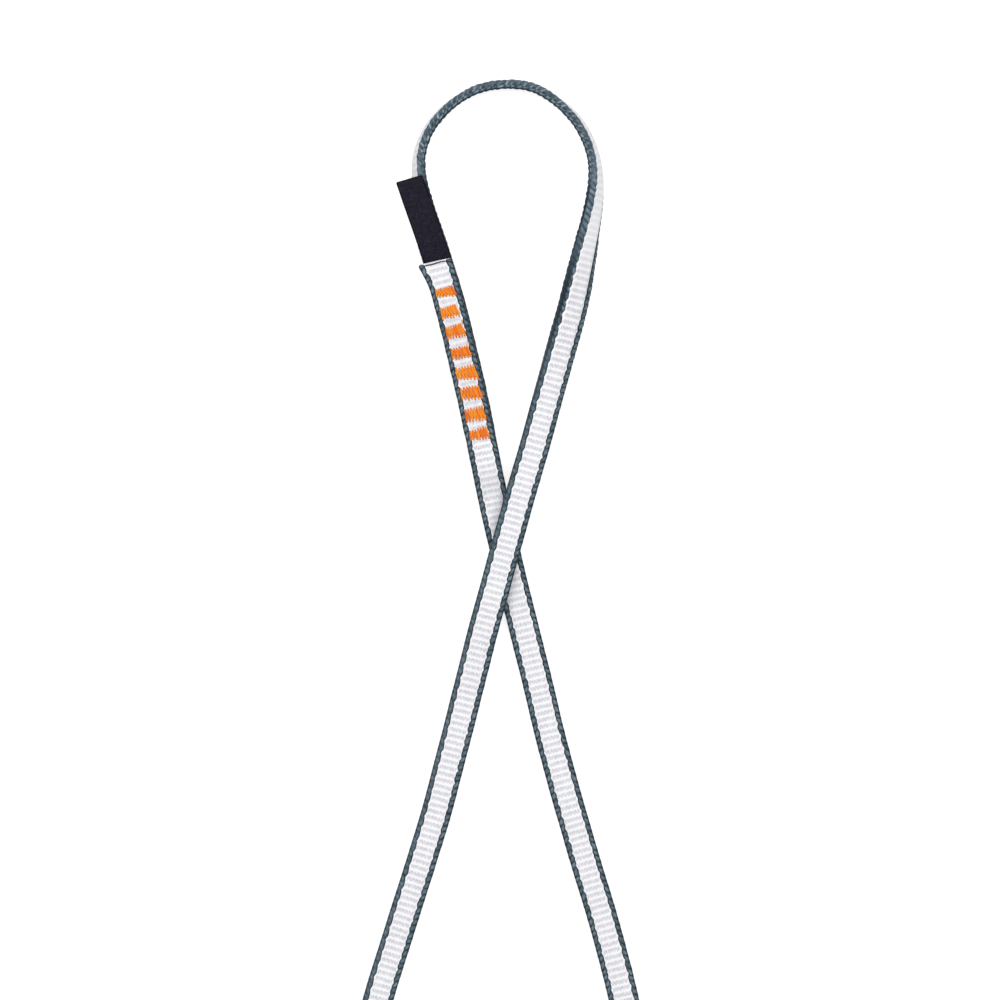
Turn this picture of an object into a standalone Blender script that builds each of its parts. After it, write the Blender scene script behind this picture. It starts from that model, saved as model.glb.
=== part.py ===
# Climbing sling: a loop of narrow flat tape, closed by a lap joint with eight bar tacks.
# It lies on a flat surface in a figure of eight, with a folded label sewn in at the joint.
# Metres, +Z up. The surface is at z = 0 and the origin is under the middle of the sling.

import math

import bpy
import numpy as np


# Sling and tape

sling_length = 0.600  # half of the way round the sewn loop
tape_width = 0.010
tape_thickness = 0.0028
selvedge_width = 0.00135  # each coloured edge
sewing_gap = 0.0003  # between pieces that touch

# Lap joint

joint_overlap = 0.0665
joint_ramp = 0.0120  # where the tape climbs onto its own other end
joint_lead = 0.0030  # and is at its full height this long before it
joint_settling = 0.030  # where the raised joint comes down again towards the arc

# Bar tacks

tack_count = 8
tack_pitch = 0.00697
first_tack = 0.0110  # from the cut end to the middle of the first tack
tack_length = 0.0036  # along the tape
tack_thread = 0.0005
tack_tooth = 0.0007  # how far the slanted stitches step past each other
tack_stitches = 6
tack_margin = 0.00025  # from a tack's side to the edge of the white field
needle_clearance = 0.0003

# Label

label_length = 0.0283
label_width = 0.0095
label_thickness = 0.0005
label_tail_length = 0.0140  # sewn in between the two layers
label_fold = 0.0015  # from the cut end of the tape to the line the label turns on
label_rise = 0.0062
label_turn = math.radians(0.6)  # the label points a little to the left of the tape
label_tilt = math.radians(22.0)  # and its left side hangs lower
label_steps = 12

# Where one strand passes over the other

crossing_gap = 0.0007
crossing_ramp = 0.034
crossing_flat_share = 1.9  # half of the stretch at full height, as a share of the tape's width

# Rings along the tape

ring_step = 0.012
ring_turn = math.radians(9.0)
samples_per_span = 24
samples_along_tape = 1600

# The route of the tape's middle line, from its hidden end up the left strand, over the top arc,
# down the right strand, round the lower bend and up again. Each row has the place across and
# along, as shares of the sling's length, and the tape's lean in degrees: 0 stands on edge,
# 90 lies flat with the outer face up, and -90 lies flat with the inner face up.

joint_route_shares = [
    (-0.0086, 0.2541, 90.0),
    (-0.0181, 0.2994, 90.0),
    (-0.0279, 0.3386, 90.0),
    (-0.0333, 0.3582, 87.0),
    (-0.0386, 0.3750, 70.0),
    (-0.0431, 0.3913, 43.0),
    (-0.0453, 0.4070, 19.0),
]
arc_route_shares = [
    (-0.0453, 0.4204, 12.0),
    (-0.0396, 0.4367, 8.0),
    (-0.0256, 0.4522, 6.0),
    (-0.0119, 0.4598, 6.0),
    (0.0036, 0.4623, 6.0),
    (0.0192, 0.4602, 6.0),
    (0.0331, 0.4514, 6.0),
    (0.0457, 0.4367, 8.0),
    (0.0528, 0.4170, 12.0),
]
over_route_shares = [
    (0.0528, 0.3980, 23.0),
    (0.0482, 0.3734, 38.0),
    (0.0398, 0.3375, 56.0),
    (0.0283, 0.2927, 80.0),
    (0.0132, 0.2390, 90.0),
    (0.0027, 0.2017, 90.0),
]
lower_left_route_shares = [
    (-0.0160, 0.1314, 90.0),
    (-0.0370, 0.0508, 90.0),
    (-0.0538, -0.0030, 90.0),
    (-0.0683, -0.0500, 86.0),
    (-0.0800, -0.1020, 42.0),
    (-0.0838, -0.1550, -42.0),
    (-0.0810, -0.2100, -86.0),
    (-0.0745, -0.2750, -90.0),
    (-0.0655, -0.3420, -104.0),
]
bend_route_shares = [
    (-0.0555, -0.4020, -150.0),
    (-0.0370, -0.4450, -174.0),
    (0.0000, -0.4620, -174.0),
    (0.0370, -0.4450, -174.0),
    (0.0555, -0.4020, -150.0),
]
under_route_shares = [
    (0.0660, -0.3420, -184.0),
    (0.0790, -0.2400, -238.0),
    (0.0825, -0.1450, -262.0),
    (0.0695, -0.0500, -270.0),
    (0.0353, 0.0710, -270.0),
    (0.0151, 0.1516, -270.0),
    (0.0027, 0.2017, -270.0),
]

# The tape is modelled in six lengths, so that each one's collision can follow its own bend.
# The first five end at these rows of the route, and the last one ends at the cut end.

run_names = ["top_loop", "crossing_over", "left_side", "lower_bend", "right_side", "crossing_under"]
run_end_rows = [20, 25, 30, 36, 39]

# Colours

slate = (0.075, 0.105, 0.125, 1.0)
white = (0.82, 0.82, 0.84, 1.0)
orange = (0.95, 0.25, 0.03, 1.0)
black = (0.018, 0.016, 0.022, 1.0)

# Sizes that follow

core_width = tape_width - 2 * selvedge_width - 2 * sewing_gap
crossing_flat = crossing_flat_share * tape_width
selvedge_centre = (core_width + selvedge_width) / 2 + sewing_gap
layer_step = tape_thickness + sewing_gap
label_layer_step = layer_step + label_thickness + sewing_gap
tack_lift = tack_thread + sewing_gap
tack_width = core_width - 2 * tack_margin
leg_width = tack_width - tack_width / tack_stitches
up = np.array([0.0, 0.0, 1.0])


def material(name, colour, roughness):
    made = bpy.data.materials.new(name)
    made.use_nodes = True
    shader = made.node_tree.nodes["Principled BSDF"]
    shader.inputs["Base Color"].default_value = colour
    shader.inputs["Roughness"].default_value = roughness
    shader.inputs["Metallic"].default_value = 0.0
    made.diffuse_color = colour
    return made


def add_object(name, corners, faces, finish=None):
    mesh = bpy.data.meshes.new(name)
    mesh.from_pydata([tuple(corner) for corner in corners], [], faces)
    mesh.validate()
    mesh.update()
    made = bpy.data.objects.new(name, mesh)
    bpy.context.scene.collection.objects.link(made)
    if finish is not None:
        mesh.materials.append(finish)
    return made


def smooth(share):
    held = min(max(share, 0.0), 1.0)
    return held * held * (3 - 2 * held)


# The middle line

class Route:
    """A smooth closed line through the route's points, with the tape's lean along it."""

    def __init__(self, rows):
        table = np.array(rows)
        self.points = table[:, :2] * sling_length
        count = len(self.points)
        following = np.roll(self.points, -1, axis=0)
        self.spans = np.linalg.norm(following - self.points, axis=1)
        self.bends = self.solve_bends(following, count)
        self.measure(count)
        self.lean_values = np.append(table[:, 2], table[0, 2] - 360.0)
        self.lean_slopes = self.solve_lean_slopes()

    def solve_bends(self, following, count):
        # second derivatives of a periodic cubic spline at the points
        matrix = np.zeros((count, count))
        right = np.zeros((count, 2))
        slopes = (following - self.points) / self.spans[:, None]
        for i in range(count):
            matrix[i, i - 1] += self.spans[i - 1]
            matrix[i, i] += 2 * (self.spans[i - 1] + self.spans[i])
            matrix[i, (i + 1) % count] += self.spans[i]
            right[i] = 6 * (slopes[i] - slopes[i - 1])
        return np.linalg.solve(matrix, right)

    def measure(self, count):
        # a fine polyline, and the distance along it at each route point
        line = []
        for i in range(count):
            after = (i + 1) % count
            for share in np.arange(samples_per_span) / samples_per_span:
                rest = 1 - share
                bend = (rest**3 - rest) * self.bends[i] + (share**3 - share) * self.bends[after]
                line.append(rest * self.points[i] + share * self.points[after] + bend * self.spans[i] ** 2 / 6)
        line.append(line[0])
        self.line = np.array(line)
        pieces = np.linalg.norm(np.diff(self.line, axis=0), axis=1)
        self.along = np.concatenate([[0.0], np.cumsum(pieces)])
        self.length = self.along[-1]
        self.marks = self.along[::samples_per_span]

    def solve_lean_slopes(self):
        # slopes that never overshoot, so a flat stretch stays flat
        steps = np.diff(self.lean_values) / np.diff(self.marks)
        slopes = np.zeros(len(self.lean_values))
        for i in range(1, len(steps)):
            if steps[i - 1] * steps[i] > 0:
                slopes[i] = 2 / (1 / steps[i - 1] + 1 / steps[i])
        return slopes

    def place(self, distance):
        at = distance % self.length
        return np.array([np.interp(at, self.along, self.line[:, k]) for k in range(2)])

    def heading(self, distance):
        reach = tape_width / 10
        step = self.place(distance + reach) - self.place(distance - reach)
        return step / np.linalg.norm(step)

    def lean(self, distance):
        at = distance % self.length
        i = min(int(np.searchsorted(self.marks, at, side="right")) - 1, len(self.marks) - 2)
        span = self.marks[i + 1] - self.marks[i]
        share = (at - self.marks[i]) / span
        start, end = self.lean_values[i], self.lean_values[i + 1]
        leave, arrive = self.lean_slopes[i] * span, self.lean_slopes[i + 1] * span
        value = (
            start * (2 * share**3 - 3 * share**2 + 1)
            + leave * (share**3 - 2 * share**2 + share)
            + end * (3 * share**2 - 2 * share**3)
            + arrive * (share**3 - share**2)
        )
        return math.radians(value)


route = Route(
    joint_route_shares
    + arc_route_shares
    + over_route_shares
    + lower_left_route_shares
    + bend_route_shares
    + under_route_shares
)
over_mark = route.marks[len(joint_route_shares + arc_route_shares + over_route_shares) - 1]
tape_length = route.length + joint_overlap
run_ends = [route.marks[row] for row in run_end_rows] + [tape_length]
tack_places = [joint_overlap - first_tack - i * tack_pitch for i in range(tack_count)]


def raised(distance):
    # height of the tape's middle over the surface, apart from what its lean gives
    at = distance % route.length
    crossing = crossing_flat + crossing_ramp - abs(at - over_mark)
    height = (tape_thickness + crossing_gap) * smooth(crossing / crossing_ramp)
    if at > route.length - joint_lead - joint_ramp:
        height += tack_lift * smooth((at - route.length + joint_lead + joint_ramp) / joint_ramp)
    elif at < joint_overlap + joint_settling:
        height += tack_lift * smooth((joint_overlap + joint_settling - at) / joint_settling)
    return height


def stacked(distance):
    # how far the upper layer of the joint lies above the lower one
    climb = smooth((distance - route.length + joint_lead + joint_ramp) / joint_ramp)
    under_label = route.length + joint_overlap - label_tail_length - 2 * tack_pitch
    label_climb = smooth((distance - under_label) / (2 * tack_pitch))
    return layer_step * climb + (label_layer_step - layer_step) * label_climb


def tape_frame(distance, height=0.0):
    # middle, direction, width direction and outer face of the tape at a distance along it
    heading = route.heading(distance)
    direction = np.array([heading[0], heading[1], 0.0])
    side = np.array([heading[1], -heading[0], 0.0])
    lean = route.lean(distance)
    across = math.cos(lean) * up + math.sin(lean) * side
    outward = math.sin(lean) * up - math.cos(lean) * side
    resting = abs(math.cos(lean)) * tape_width / 2 + abs(math.sin(lean)) * tape_thickness / 2
    place = route.place(distance)
    middle = np.array([place[0], place[1], resting + raised(distance)])
    return middle + height * outward, direction, across, outward


def ring_distances(start, end):
    # rings close together where the tape bends or turns over, and wide apart where it is straight
    fine = np.linspace(start, end, round(samples_along_tape * (end - start) / tape_length))
    frames = [tape_frame(distance, stacked(distance)) for distance in fine]
    steps = np.diff([frame[0] for frame in frames], axis=0)
    steps /= np.linalg.norm(steps, axis=1)[:, None]
    chosen = [0]
    turned = 0.0
    for i in range(1, len(fine) - 1):
        turned += np.linalg.norm(np.concatenate([steps[i] - steps[i - 1], frames[i][2] - frames[i - 1][2]]))
        if fine[i] - fine[chosen[-1]] >= ring_step or turned >= ring_turn:
            chosen.append(i)
            turned = 0.0
    return [fine[i] for i in chosen] + [end]


def loft(name, rings, finish):
    # a closed solid through rings of as many corners each, with flat ends
    sides = len(rings[0])
    corners = [corner for ring in rings for corner in ring]
    faces = []
    for i in range(len(rings) - 1):
        for k in range(sides):
            first, second = i * sides + k, i * sides + (k + 1) % sides
            faces.append((first, first + sides, second + sides, second))
    faces.append(tuple(range(sides)))
    faces.append(tuple(reversed(range(len(corners) - sides, len(corners)))))
    return add_object(name, corners, faces, finish)


def strip_rings(distances, section):
    rings = []
    for distance in distances:
        middle, _, across, outward = tape_frame(distance, stacked(distance))
        rings.append([middle + x * across + y * outward for x, y in section])
    return rings


# Webbing

def core_section():
    half_width, half_thickness = core_width / 2, tape_thickness / 2
    return [
        (half_width, half_thickness),
        (-half_width, half_thickness),
        (-half_width, -half_thickness),
        (half_width, -half_thickness),
    ]


def selvedge_section(side):
    # flat against the white field, with a rounded outer edge and flat top and bottom
    half_thickness = tape_thickness / 2
    corner = selvedge_width / 3
    inner = selvedge_centre - selvedge_width / 2
    outer = selvedge_centre + selvedge_width / 2
    outline = [
        (inner, -half_thickness),
        (outer - corner, -half_thickness),
        (outer, -half_thickness + 2 * corner),
        (outer, half_thickness - 2 * corner),
        (outer - corner, half_thickness),
        (inner, half_thickness),
    ]
    if side < 0:
        outline = [(-x, y) for x, y in reversed(outline)]
    return outline


def build_webbing(white_yarn, slate_yarn):
    # the white field and both edges of each length of the tape, with a sewing gap between lengths
    cores = []
    start = 0.0
    for name, end in zip(run_names, run_ends):
        last = end if end == tape_length else end - sewing_gap
        rings = ring_distances(start, last)
        cores.append(loft(f"webbing_core_{name}", strip_rings(rings, core_section()), white_yarn))
        loft(f"selvedge_inner_{name}", strip_rings(rings, selvedge_section(1)), slate_yarn)
        loft(f"selvedge_outer_{name}", strip_rings(rings, selvedge_section(-1)), slate_yarn)
        print(name, "from", round(start, 4), "to", round(last, 4), "rings", len(rings))
        start = end
    return cores


# Bar tacks

def tack_section(place):
    # heights of the stack of both layers at a tack, from the lower layer's middle
    top = stacked(place + route.length) + tape_thickness / 2 + sewing_gap
    bottom = -tape_thickness / 2 - sewing_gap
    return top, bottom


def build_tack(name, place, finish):
    middle, direction, across, outward = tape_frame(place)
    top, bottom = tack_section(place)
    leg_outer = tack_length / 2 - tack_tooth / 2
    leg_inner = leg_outer - tack_thread
    stations = 2 * tack_stitches + 1
    corners = []
    for j in range(stations):
        offset = (j / (stations - 1) - 0.5) * tack_width
        ahead = tack_length / 2 + (tack_tooth / 2 if j % 2 else 0.0)
        behind = tack_length / 2 + (0.0 if j % 2 else tack_tooth / 2)
        outline = [
            (ahead, top + tack_thread),
            (ahead, top),
            (leg_outer, top),
            (leg_outer, bottom),
            (ahead, bottom),
            (ahead, bottom - tack_thread),
            (-behind, bottom - tack_thread),
            (-behind, bottom),
            (-leg_outer, bottom),
            (-leg_outer, top),
            (-behind, top),
            (-behind, top + tack_thread),
            (leg_inner, top),
            (leg_inner, bottom),
            (-leg_inner, bottom),
            (-leg_inner, top),
        ]
        corners += [middle + offset * across + x * direction + y * outward for x, y in outline]
    pads = [(0, 1, 2, 12, 15, 9, 10, 11), (4, 5, 6, 7, 8, 14, 13, 3)]
    legs = [(2, 3, 13, 12), (15, 14, 8, 9)]
    both = [tuple(range(12)), (15, 14, 13, 12)]
    points = len(outline)
    faces = []
    for j in range(stations - 1):
        at_edge = j == 0 or j == stations - 2
        for loop in pads if at_edge else both:
            for k, corner in enumerate(loop):
                first, second = points * j + corner, points * j + loop[(k + 1) % len(loop)]
                faces.append((first, first + points, second + points, second))
    for j, ends in ((0, pads), (1, legs)):
        far = stations - 1 - j
        faces += [tuple(points * j + corner for corner in end) for end in ends]
        faces += [tuple(points * far + corner for corner in reversed(end)) for end in ends]
    return add_object(name, corners, faces, finish)


def build_slots():
    # the ways of the tacks' threads through both layers of the tape, as one cutter
    corners, faces = [], []
    leg_middle = tack_length / 2 - tack_tooth / 2 - tack_thread / 2
    half_thickness = tack_thread / 2 + needle_clearance
    half_width = leg_width / 2 + needle_clearance
    for place in tack_places:
        middle, direction, across, outward = tape_frame(place)
        top, bottom = tack_section(place)
        overrun = tack_thread
        for leg in (-leg_middle, leg_middle):
            start = len(corners)
            for height in (bottom - overrun, top + overrun):
                for x, y in ((-1, -1), (1, -1), (1, 1), (-1, 1)):
                    shift = (leg + x * half_thickness) * direction - y * half_width * across
                    corners.append(middle + shift + height * outward)
            box = [(3, 2, 1, 0), (4, 5, 6, 7)]
            box += [(k, (k + 1) % 4, (k + 1) % 4 + 4, k + 4) for k in range(4)]
            faces += [tuple(start + corner for corner in face) for face in box]
    slots = add_object("needle_slots", corners, faces)
    slots.hide_render = True
    slots.display_type = "WIRE"
    return slots


def cut_slots(piece, slots):
    cut = piece.modifiers.new("needle slots", "BOOLEAN")
    cut.operation = "DIFFERENCE"
    cut.solver = "EXACT"
    cut.object = slots


# Label

def label_section(half_thickness):
    half_width = label_width / 2
    return [
        (half_width, half_thickness),
        (-half_width, half_thickness),
        (-half_width, -half_thickness),
        (half_width, -half_thickness),
    ]


def label_height():
    return tape_thickness / 2 + sewing_gap + label_thickness / 2


def build_label_tail(finish):
    start = joint_overlap - label_tail_length
    end = joint_overlap + label_fold - label_thickness
    rings = []
    for distance in np.linspace(start, end, label_steps):
        middle, _, across, outward = tape_frame(distance, label_height())
        rings.append([middle + x * across + y * outward for x, y in label_section(label_thickness / 2)])
    return loft("label_tail", rings, finish)


def label_hinge():
    middle, direction, across, outward = tape_frame(joint_overlap + label_fold, label_height())
    return middle, direction, across, outward


def label_frame(distance):
    # the flap rises over the standing edge of the tape, and its left side hangs lower
    start, direction, across, _ = label_hinge()
    share = distance / label_length
    turned = math.cos(label_turn) * direction + math.sin(label_turn) * np.cross(up, direction)
    rise = label_rise * math.sin(share * math.pi / 2)
    slope = label_rise * math.cos(share * math.pi / 2) * math.pi / 2 / label_length
    middle = start + distance * turned + rise * up
    forward = turned + slope * up
    forward /= np.linalg.norm(forward)
    side = np.cross(forward, up)
    side /= np.linalg.norm(side)
    face = np.cross(side, forward)
    root_tilt = math.asin(across[2])
    tilt = root_tilt + (label_tilt - root_tilt) * share
    return middle, math.cos(tilt) * side + math.sin(tilt) * face, math.cos(tilt) * face - math.sin(tilt) * side


def build_label_flap(finish):
    rings = []
    for i in range(label_steps + 1):
        distance = label_thickness + (label_length - label_thickness) * i / label_steps
        middle, across, outward = label_frame(distance)
        rings.append([middle + x * across + y * outward for x, y in label_section(label_thickness / 2)])
    flap = loft("label_flap", rings, finish)
    hinge = label_hinge()[0]
    for corner in flap.data.vertices:
        corner.co = [corner.co[k] - hinge[k] for k in range(3)]
    flap.location = hinge
    return flap


def main():
    for old in list(bpy.data.objects):
        bpy.data.objects.remove(old, do_unlink=True)
    white_yarn = material("white yarn", white, 0.6)
    slate_yarn = material("slate yarn", slate, 0.7)
    tack_yarn = material("orange thread", orange, 0.5)
    label_cloth = material("black label cloth", black, 0.8)

    cores = build_webbing(white_yarn, slate_yarn)
    slots = build_slots()
    cut_slots(cores[0], slots)
    cut_slots(cores[-1], slots)
    for i, place in enumerate(tack_places):
        build_tack(f"bar_tack_{i + 1}", place, tack_yarn)
    cut_slots(build_label_tail(label_cloth), slots)
    build_label_flap(label_cloth)

    print("loop", round(route.length, 4), "tape", round(tape_length, 4))
    hinge, _, across, _ = label_hinge()
    print("label hinge", [round(float(v), 5) for v in hinge], [round(float(v), 5) for v in across])


main()
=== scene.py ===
import math

import bpy
import numpy as np
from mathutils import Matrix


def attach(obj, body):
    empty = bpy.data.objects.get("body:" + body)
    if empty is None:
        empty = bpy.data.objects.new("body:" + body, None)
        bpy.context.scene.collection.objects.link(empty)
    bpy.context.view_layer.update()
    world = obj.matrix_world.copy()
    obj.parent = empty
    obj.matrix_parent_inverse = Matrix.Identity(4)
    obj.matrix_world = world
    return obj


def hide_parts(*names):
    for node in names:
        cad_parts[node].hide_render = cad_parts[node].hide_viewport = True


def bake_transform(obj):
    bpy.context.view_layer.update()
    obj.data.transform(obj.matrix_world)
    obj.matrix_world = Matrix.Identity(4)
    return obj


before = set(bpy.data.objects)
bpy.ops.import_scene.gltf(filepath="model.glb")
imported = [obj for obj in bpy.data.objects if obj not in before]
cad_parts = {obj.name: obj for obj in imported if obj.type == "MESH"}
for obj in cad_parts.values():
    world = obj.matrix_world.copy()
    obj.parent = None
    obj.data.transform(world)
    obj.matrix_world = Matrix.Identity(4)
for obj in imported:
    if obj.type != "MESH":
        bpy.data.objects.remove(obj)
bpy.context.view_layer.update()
bpy.ops.object.select_all(action="DESELECT")
up = np.array([0.0, 0.0, 1.0])
mm = 0.001

# Camera, straight above the sling as in the photo

shot = {
    "centre": (0.0, 0.138),
    "height": 1.4,
    "across": 0.336,  # what the picture shows on the floor
    "sensor": 36.0,
}


def setCamera():
    bpy.ops.object.camera_add(location=(*shot["centre"], shot["height"]), rotation=(0, 0, 0))
    camera = bpy.context.object
    camera.name = "shotCamera"
    camera.data.sensor_width = shot["sensor"]
    camera.data.lens = shot["sensor"] * shot["height"] / shot["across"]
    camera.data.clip_end = 10
    camera.data.dof.use_dof = False
    bpy.context.scene.camera = camera


setCamera()
print("camera set")

# Tape: its sizes in metres, and the route of its middle line in millimetres, with its lean in
# degrees (0 on edge, 90 flat with the outer face up)

tape = {
    "width": 0.010,
    "thickness": 0.0028,
    "edgeWidth": 0.00135,
    "gap": 0.0003,
    "overlap": 0.0665,
    "ramp": 0.0120,
    "lead": 0.0030,
    "settling": 0.030,
    "thread": 0.0005,
    "labelThickness": 0.0005,
    "labelTail": 0.0140,
    "crossingGap": 0.0007,
    "crossingRamp": 0.034,
    "crossingFlat": 0.019,
    "firstTack": 0.0110,
    "tackPitch": 0.00697,
    "tackCount": 8,
    "tackLength": 0.0036,
}
handMade = {
    # small departures of the real, hand-laid sling from the even one
    "lowerShift": 0.00030,
    "upperShift": 0.00026,
    "endShift": 0.0005,
    "endSkew": 0.09,
    "skewLength": 0.006,
    "endReach": 0.00095,  # the cut end frays past the sewn length
    "flare": 0.0015,
    "flareLength": 0.009,
    "spreads": (3.1, 1.0, 7.8),  # more lean left of the arc, on it and right of it, in degrees
    "cups": (34.0, 33.0),
    "topSag": 0.00028,
    "cupsFrom": (0.0028, 0.0023),
    "pullIn": 0.030,  # narrower under each tack
    "thinner": 0.07,
    "press": 0.00012,
    "waver": 0.00007,
    "waverPitch": 0.043,
    "leftOfArc": (5, 0.02, 10, 0.02),  # a row of the route and the rise there, another and the fall
    "rightOfArc": (12, 0.02, 19, 0.03),
    "onEdge": (54.0, 30.0),  # leans between which the tape comes to stand on edge
    "upright": (24.0, 9.0),
}
jointRoute = [
    (-5.16, 152.46, 90), (-10.86, 179.64, 90), (-16.74, 203.16, 90), (-19.98, 214.92, 87),
    (-23.16, 225, 70), (-25.86, 234.78, 43), (-27.18, 244.2, 19),
]
arcRoute = [
    (-27.18, 252.24, 12), (-23.76, 262.02, 8), (-15.36, 271.32, 6), (-7.14, 275.88, 6),
    (2.16, 277.38, 6), (11.52, 276.12, 6), (19.86, 270.84, 6), (27.42, 262.02, 8),
    (31.68, 250.2, 12),
]
overRoute = [
    (31.68, 238.8, 23), (28.92, 224.04, 38), (23.88, 202.5, 56), (16.98, 175.62, 80),
    (7.92, 143.4, 90), (1.62, 121.02, 90),
]
lowerLeftRoute = [
    (-9.6, 78.84, 90), (-22.2, 30.48, 90), (-32.28, -1.8, 90), (-40.98, -30, 86),
    (-48, -61.2, 42), (-50.28, -93, -42), (-48.6, -126, -86), (-44.7, -165, -90),
    (-39.3, -205.2, -104),
]
bendRoute = [
    (-33.3, -241.2, -150), (-22.2, -267, -174), (0, -277.2, -174), (22.2, -267, -174),
    (33.3, -241.2, -150),
]
underRoute = [
    (39.6, -205.2, -184), (47.4, -144, -238), (49.5, -87, -262), (41.7, -30, -270),
    (21.18, 42.6, -270), (9.06, 90.96, -270), (1.62, 121.02, -270),
]
crossingRow = len(jointRoute + arcRoute + overRoute) - 1
samplesPerSpan = 24


def solveRoute(rows):
    # a closed smooth line through the rows, and how the tape leans along it
    table = np.array(rows)
    points = table[:, :2] * mm
    count = len(points)
    following = np.roll(points, -1, axis=0)
    spans = np.linalg.norm(following - points, axis=1)
    matrix = np.zeros((count, count))
    right = np.zeros((count, 2))
    slopes = (following - points) / spans[:, None]
    for i in range(count):
        matrix[i, i - 1] += spans[i - 1]
        matrix[i, i] += 2 * (spans[i - 1] + spans[i])
        matrix[i, (i + 1) % count] += spans[i]
        right[i] = 6 * (slopes[i] - slopes[i - 1])
    bends = np.linalg.solve(matrix, right)
    line = []
    for i in range(count):
        after = (i + 1) % count
        for share in np.arange(samplesPerSpan) / samplesPerSpan:
            rest = 1 - share
            bend = (rest**3 - rest) * bends[i] + (share**3 - share) * bends[after]
            line.append(rest * points[i] + share * points[after] + bend * spans[i] ** 2 / 6)
    line.append(line[0])
    line = np.array(line)
    along = np.concatenate([[0.0], np.cumsum(np.linalg.norm(np.diff(line, axis=0), axis=1))])
    marks = along[::samplesPerSpan]
    leans = np.append(table[:, 2], table[0, 2] - 360.0)
    steps = np.diff(leans) / np.diff(marks)
    turns = np.zeros(len(leans))
    for i in range(1, len(steps)):
        if steps[i - 1] * steps[i] > 0:
            turns[i] = 2 / (1 / steps[i - 1] + 1 / steps[i])
    return {"line": line, "along": along, "marks": marks, "leans": leans, "turns": turns}


route = solveRoute(jointRoute + arcRoute + overRoute + lowerLeftRoute + bendRoute + underRoute)
loopLength = route["along"][-1]
tapeLength = loopLength + tape["overlap"]
crossingAt = route["marks"][crossingRow]
layerStep = tape["thickness"] + tape["gap"]
labelLayerStep = layerStep + tape["labelThickness"] + tape["gap"]
clothEnd = tapeLength + handMade["endReach"]
coreWidth = tape["width"] - 2 * tape["edgeWidth"] - 2 * tape["gap"]
edgeCentre = (coreWidth + tape["edgeWidth"]) / 2 + tape["gap"]
crestAt = 0.45 * tape["width"]
tackPlaces = tape["overlap"] - tape["firstTack"] - tape["tackPitch"] * np.arange(tape["tackCount"])


def smooth(share):
    held = np.clip(share, 0.0, 1.0)
    return held * held * (3 - 2 * held)


def unit(vectors):
    return vectors / np.linalg.norm(vectors, axis=-1, keepdims=True)


def between(values, none, whole):
    # 0 up to the first limit, 1 from the second one on
    return smooth((values - none) / (whole - none))


def within(distances, start, rise, end, fall):
    # 1 between two places on the tape, with a soft rise after the first and fall before the other
    return between(distances, start, start + rise) * between(distances, end, end - fall)


def nearRows(distances, first, rise, last, fall):
    marks = route["marks"]
    return within(distances, marks[first], rise, marks[last], fall)


def placeAt(distances):
    at = distances % loopLength
    return np.stack([np.interp(at, route["along"], route["line"][:, k]) for k in range(2)], axis=1)


def leanAt(distances):
    at = distances % loopLength
    marks, leans, turns = route["marks"], route["leans"], route["turns"]
    i = np.minimum(np.searchsorted(marks, at, side="right") - 1, len(marks) - 2)
    span = marks[i + 1] - marks[i]
    share = (at - marks[i]) / span
    value = (
        leans[i] * (2 * share**3 - 3 * share**2 + 1)
        + turns[i] * span * (share**3 - 2 * share**2 + share)
        + leans[i + 1] * (3 * share**2 - 2 * share**3)
        + turns[i + 1] * span * (share**3 - share**2)
    )
    return np.radians(value)


def raised(distances):
    # over the other strand, and where the tacks' thread lies under the joint
    at = distances % loopLength
    reach = tape["crossingFlat"] + tape["crossingRamp"] - np.abs(at - crossingAt)
    height = (tape["thickness"] + tape["crossingGap"]) * smooth(reach / tape["crossingRamp"])
    lift = tape["thread"] + tape["gap"]
    climb = tape["lead"] + tape["ramp"]
    into = smooth((at - loopLength + climb) / tape["ramp"])
    away = smooth((tape["overlap"] + tape["settling"] - at) / tape["settling"])
    return height + lift * np.where(at > loopLength - climb, into, away)


def stacked(distances):
    # how far the upper layer of the joint lies over the lower one
    climb = smooth((distances - loopLength + tape["lead"] + tape["ramp"]) / tape["ramp"])
    underLabel = tapeLength - tape["labelTail"] - 2 * tape["tackPitch"]
    labelClimb = smooth((distances - underLabel) / (2 * tape["tackPitch"]))
    return layerStep * climb + (labelLayerStep - layerStep) * labelClimb


def tapeFrames(distances, height=0.0):
    # middles, directions, width directions and outward directions of the tape
    distances = np.atleast_1d(np.asarray(distances, dtype=float))
    reach = tape["width"] / 10
    heading = unit(placeAt(distances + reach) - placeAt(distances - reach))
    flat = np.zeros(len(distances))
    direction = np.stack([heading[:, 0], heading[:, 1], flat], axis=1)
    side = np.stack([heading[:, 1], -heading[:, 0], flat], axis=1)
    lean = leanAt(distances)[:, None]
    across = np.cos(lean) * up + np.sin(lean) * side
    outward = np.sin(lean) * up - np.cos(lean) * side
    resting = np.abs(np.cos(lean[:, 0])) * tape["width"] / 2
    resting += np.abs(np.sin(lean[:, 0])) * tape["thickness"] / 2
    place = placeAt(distances)
    middle = np.stack([place[:, 0], place[:, 1], resting + raised(distances)], axis=1)
    return middle + np.atleast_1d(height)[:, None] * outward, direction, across, outward


def pulledIn(distances):
    # 1 under each bar tack, 0 away from them
    at = np.where(distances > loopLength, distances - loopLength, distances)
    inJoint = (distances < tape["overlap"]) | (distances > loopLength)
    spread = 0.42 * tape["tackPitch"]
    pull = sum(np.exp(-(((at - place) / spread) ** 2)) for place in tackPlaces)
    return np.where(inJoint, np.minimum(pull, 1.0), 0.0)


def waver(distances, pitch, phase):
    # a slow, uneven wave between -1 and 1
    turns = distances / pitch * 2 * math.pi
    return (np.sin(turns + phase) + 0.6 * np.sin(1.73 * turns + 2.1 * phase)) / 1.6


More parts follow.
